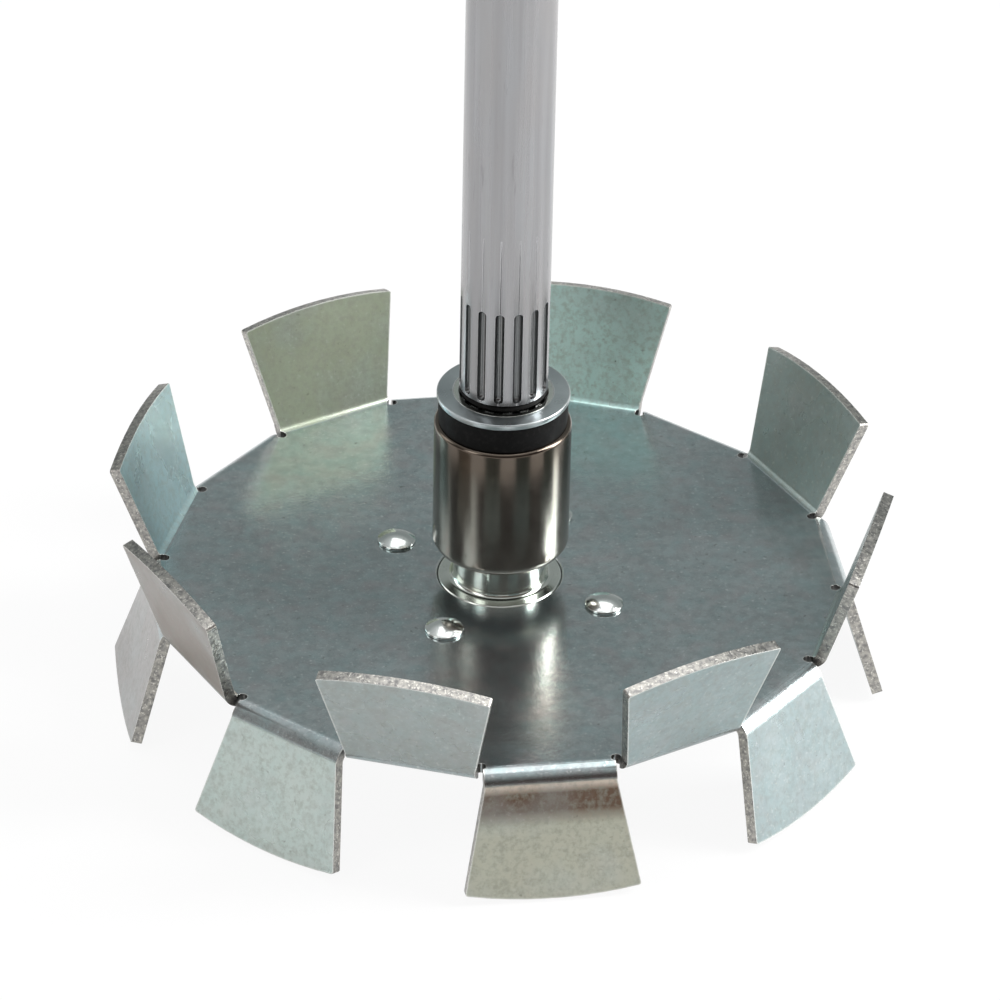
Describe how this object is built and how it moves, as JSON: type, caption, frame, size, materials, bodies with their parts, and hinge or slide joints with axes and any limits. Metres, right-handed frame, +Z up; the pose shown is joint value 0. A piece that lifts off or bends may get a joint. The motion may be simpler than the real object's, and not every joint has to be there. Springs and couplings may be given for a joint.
{
  "type": "tank agitator",
  "caption": "Sawtooth dispersing disc with teeth bent up and down in turn, riveted to a quick-release hub with a sliding lock sleeve on a round drive shaft",
  "frame": {"origin": "Where the shaft's axis meets the plane that the downturned teeth stand on", "axes": "+Z runs up the shaft; -Y points at the middle of one downturned tooth"},
  "size_m": [0.1398, 0.1398, 0.3856],
  "materials": {
    "zinc_plate": "blue-white zinc plate, fine speckle",
    "hub_zinc": "turned and zinc plated, shiny",
    "shaft_steel": "satin ground bar",
    "rivet_steel": "pressed, shiny",
    "sleeve_chrome": "polished",
    "spring_steel": "drawn wire",
    "black_rubber": "matt",
    "washer_zinc": "smooth zinc plate",
    "ball_steel": "polished bearing steel"
  },
  "bodies": {
    "rotor": {"mixing_disc": "zinc_plate", "hub_socket": "hub_zinc", "drive_shaft": "shaft_steel", "hub_rivet_1": "rivet_steel", "hub_rivet_2": "rivet_steel", "hub_rivet_3": "rivet_steel", "hub_rivet_4": "rivet_steel", "spring_washer": "washer_zinc", "seal_ring": "black_rubber", "sleeve_spring": "spring_steel", "dust_boot": "black_rubber"},
    "sleeve": {"lock_sleeve": "sleeve_chrome"},
    "ball_1": {"lock_ball_1": "ball_steel"},
    "ball_2": {"lock_ball_2": "ball_steel"},
    "ball_3": {"lock_ball_3": "ball_steel"}
  },
  "joints": [
    {"name": "sleeve_slide", "type": "slide", "parent": "rotor", "child": "sleeve", "axis": [0, 0, 1], "range_m": [0, 0.004], "stiffness_N_per_m": 1500, "springref_m": -0.004, "deforming": ["sleeve_spring", "dust_boot"]},
    {"name": "ball_1_slide", "type": "slide", "parent": "rotor", "child": "ball_1", "axis": [1, 0, 0], "range_m": [0, 0.0011]},
    {"name": "ball_2_slide", "type": "slide", "parent": "rotor", "child": "ball_2", "axis": [-0.5, 0.866, 0], "range_m": [0, 0.0011]},
    {"name": "ball_3_slide", "type": "slide", "parent": "rotor", "child": "ball_3", "axis": [-0.5, -0.866, 0], "range_m": [0, 0.0011]}
  ],
  "couplings": [
    {"joint": "ball_1_slide", "follows": "sleeve_slide", "ratio": 0.275},
    {"joint": "ball_2_slide", "follows": "sleeve_slide", "ratio": 0.275},
    {"joint": "ball_3_slide", "follows": "sleeve_slide", "ratio": 0.275}
  ]
}
